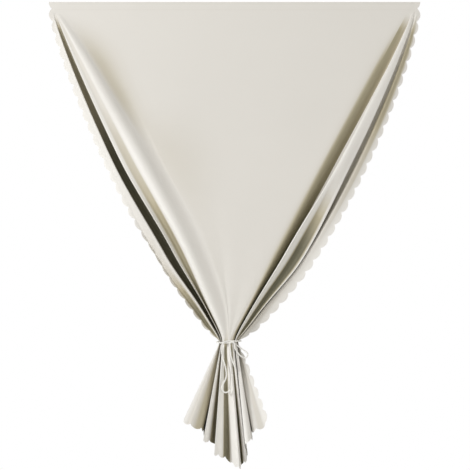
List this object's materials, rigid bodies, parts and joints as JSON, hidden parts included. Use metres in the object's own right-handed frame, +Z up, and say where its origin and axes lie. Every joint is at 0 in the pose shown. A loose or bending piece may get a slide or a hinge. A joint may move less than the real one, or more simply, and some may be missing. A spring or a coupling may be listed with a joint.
{
  "type": "adhesive blackout curtain",
  "caption": "Blackout curtain sheet with scalloped edges, held up by a hook-and-loop strip and drawn into a V by a tied cord.",
  "frame": {"origin": "middle of the adhesive strip's back face, which is pressed onto the wall or window frame", "axes": "+Z up, +Y into the wall, +X to the right as seen from the room"},
  "size_m": [1.0002, 0.0918, 1.2475],
  "materials": {
    "coated_cloth": "closely woven cream cloth with a light satin coating",
    "loop_tape": "short looped pile, off-white",
    "hook_tape": "woven strip with short moulded hooks, off-white",
    "adhesive_strip": "smooth tacky film, milky",
    "cotton_cord": "soft twisted cotton, near-white"
  },
  "bodies": {
    "root": {"curtain_panel": "coated_cloth", "loop_tape": "loop_tape", "hook_tape": "hook_tape", "adhesive_strip": "adhesive_strip", "tie_cord": "cotton_cord"}
  },
  "joints": []
}
